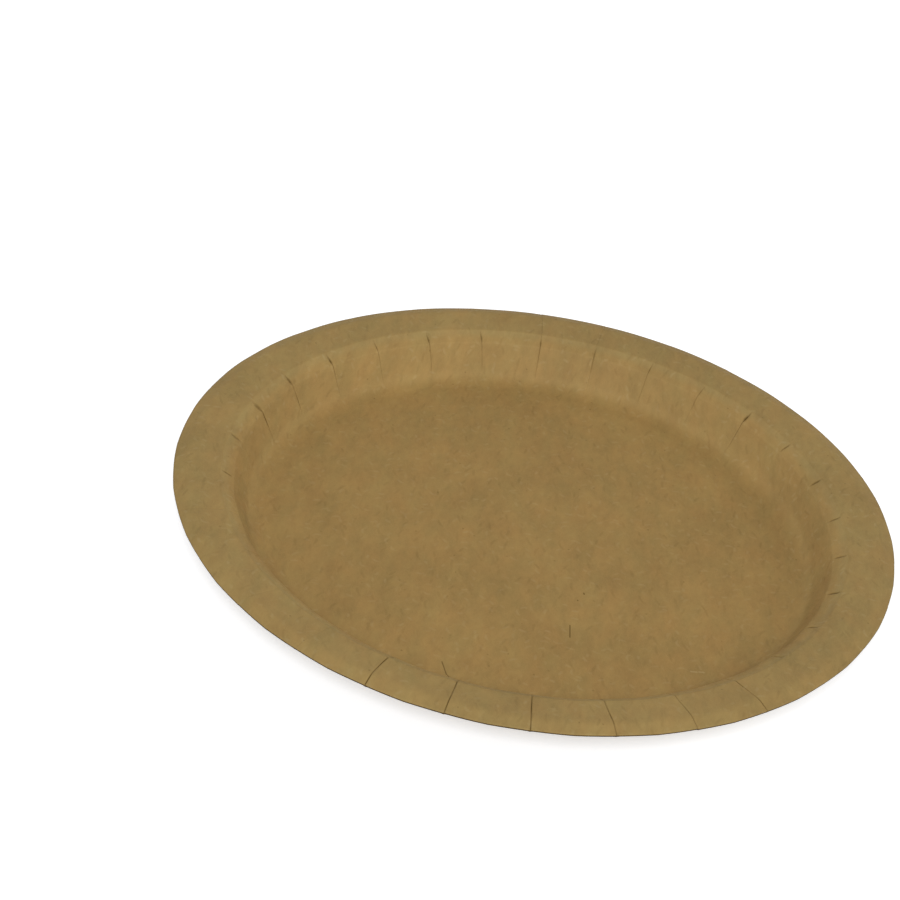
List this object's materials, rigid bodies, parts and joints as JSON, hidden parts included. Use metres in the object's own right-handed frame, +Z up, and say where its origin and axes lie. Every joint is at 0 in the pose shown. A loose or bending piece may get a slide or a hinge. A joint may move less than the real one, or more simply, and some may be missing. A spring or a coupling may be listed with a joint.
{
  "type": "paper plate",
  "caption": "Round disposable plate pressed from brown kraft board, with a flat well, a sloping creased wall and a wide flat rim for serving food.",
  "frame": {"origin": "centre of the flat underside that the plate rests on", "axes": "+Z up along the plate's axis, out of the well; +X towards one of the creases"},
  "size_m": [0.23, 0.23, 0.0168],
  "materials": {
    "kraft_board": "uncoated brown kraft board, matt, with visible fibres"
  },
  "bodies": {
    "root": {"plate": "kraft_board"}
  },
  "joints": []
}
